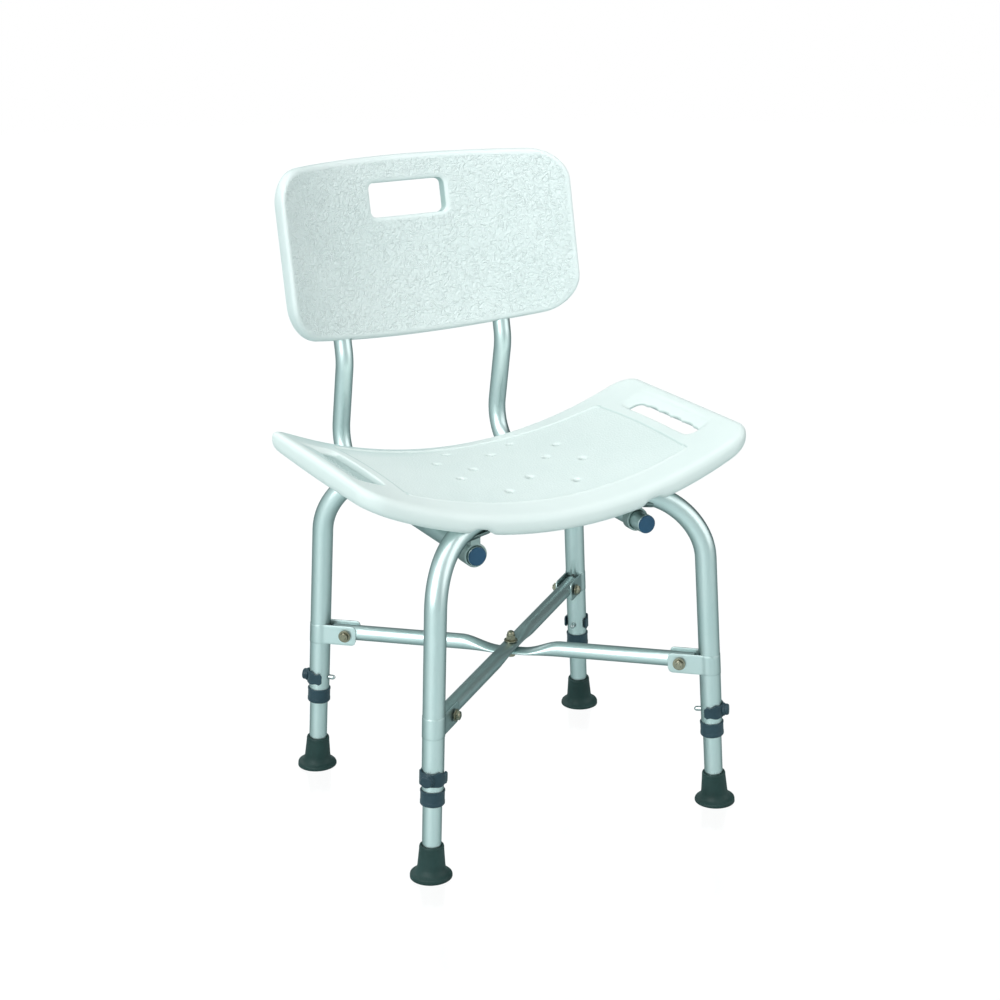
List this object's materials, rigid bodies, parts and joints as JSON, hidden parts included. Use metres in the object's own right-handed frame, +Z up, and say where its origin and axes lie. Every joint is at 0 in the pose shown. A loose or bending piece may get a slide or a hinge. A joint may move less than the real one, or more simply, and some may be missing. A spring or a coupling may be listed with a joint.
{
  "type": "shower chair",
  "caption": "Shower chair with a curved saddle seat, a lift-off backrest, crossed braces and height-adjustable legs on rubber feet.",
  "frame": {"origin": "on the floor, under the middle of the whole chair's bounding box", "axes": "+Z up, -Y towards the front where the sitter's knees are, +X towards the sitter's left hand"},
  "size_m": [0.506, 0.4932, 0.7478],
  "materials": {
    "seat_plastic": "moulded, fine pebble texture",
    "backrest_plastic": "moulded, leather grain texture",
    "tube_aluminium": "satin anodised",
    "bracket_plate": "satin sheet",
    "saddle_zinc": "dark satin",
    "slate_plastic": "satin",
    "cap_plastic": "satin",
    "foot_rubber": "matt",
    "screw_steel": "polished",
    "bolt_brass": "yellow zinc plated"
  },
  "bodies": {
    "chair": {"seat": "seat_plastic", "leg_frame_front": "tube_aluminium", "leg_frame_back": "tube_aluminium", "saddle_bracket_front_left": "saddle_zinc", "seat_screw_front_left": "screw_steel", "leg_collar_front_left": "slate_plastic", "brace_bracket_front_left": "bracket_plate", "brace_bolt_front_left": "bolt_brass", "brace_nut_front_left": "bolt_brass", "saddle_bracket_front_right": "saddle_zinc", "seat_screw_front_right": "screw_steel", "leg_collar_front_right": "slate_plastic", "brace_bracket_front_right": "bracket_plate", "brace_bolt_front_right": "bolt_brass", "brace_nut_front_right": "bolt_brass", "saddle_bracket_back_left": "saddle_zinc", "seat_screw_back_left": "screw_steel", "leg_collar_back_left": "slate_plastic", "brace_bracket_back_left": "bracket_plate", "brace_bolt_back_left": "bolt_brass", "brace_nut_back_left": "bolt_brass", "saddle_bracket_back_right": "saddle_zinc", "seat_screw_back_right": "screw_steel", "leg_collar_back_right": "slate_plastic", "brace_bracket_back_right": "bracket_plate", "brace_bolt_back_right": "bolt_brass", "brace_nut_back_right": "bolt_brass", "brace_lower": "tube_aluminium", "brace_upper": "tube_aluminium", "centre_bolt": "bolt_brass", "dome_nut": "bolt_brass"},
    "backrest": {"backrest_panel": "backrest_plastic", "back_tube_left": "tube_aluminium", "tube_cap_left": "cap_plastic", "backrest_screw_left": "screw_steel", "back_tube_right": "tube_aluminium", "tube_cap_right": "cap_plastic", "backrest_screw_right": "screw_steel"},
    "leg_front_left": {"leg_tube_front_left": "tube_aluminium", "rubber_foot_front_left": "foot_rubber"},
    "lock_front_left": {"lock_clip_front_left": "slate_plastic", "lock_pin_front_left": "screw_steel"},
    "leg_front_right": {"leg_tube_front_right": "tube_aluminium", "rubber_foot_front_right": "foot_rubber"},
    "lock_front_right": {"lock_clip_front_right": "slate_plastic", "lock_pin_front_right": "screw_steel"},
    "leg_back_left": {"leg_tube_back_left": "tube_aluminium", "rubber_foot_back_left": "foot_rubber"},
    "lock_back_left": {"lock_clip_back_left": "slate_plastic", "lock_pin_back_left": "screw_steel"},
    "leg_back_right": {"leg_tube_back_right": "tube_aluminium", "rubber_foot_back_right": "foot_rubber"},
    "lock_back_right": {"lock_clip_back_right": "slate_plastic", "lock_pin_back_right": "screw_steel"}
  },
  "joints": [
    {"name": "backrest_slide", "type": "slide", "parent": "chair", "child": "backrest", "axis": [0, 1, 0], "range_m": [0, 0.23]},
    {"name": "leg_front_left_slide", "type": "slide", "parent": "chair", "child": "leg_front_left", "axis": [-0.0515, -0.0272, -0.9983], "range_m": [0, 0.1143]},
    {"name": "leg_front_right_slide", "type": "slide", "parent": "chair", "child": "leg_front_right", "axis": [0.0515, -0.0272, -0.9983], "range_m": [0, 0.1143]},
    {"name": "leg_back_left_slide", "type": "slide", "parent": "chair", "child": "leg_back_left", "axis": [-0.0515, 0.0272, -0.9983], "range_m": [0, 0.1143]},
    {"name": "leg_back_right_slide", "type": "slide", "parent": "chair", "child": "leg_back_right", "axis": [0.0515, 0.0272, -0.9983], "range_m": [0, 0.1143]},
    {"name": "lock_front_left_pull", "type": "slide", "parent": "chair", "child": "lock_front_left", "axis": [-0.7584, -0.6493, 0.0568], "range_m": [0, 0.045]},
    {"name": "lock_front_right_pull", "type": "slide", "parent": "chair", "child": "lock_front_right", "axis": [0.7584, -0.6493, 0.0568], "range_m": [0, 0.045]},
    {"name": "lock_back_left_pull", "type": "slide", "parent": "chair", "child": "lock_back_left", "axis": [-0.7584, 0.6493, 0.0568], "range_m": [0, 0.045]},
    {"name": "lock_back_right_pull", "type": "slide", "parent": "chair", "child": "lock_back_right", "axis": [0.7584, 0.6493, 0.0568], "range_m": [0, 0.045]}
  ]
}
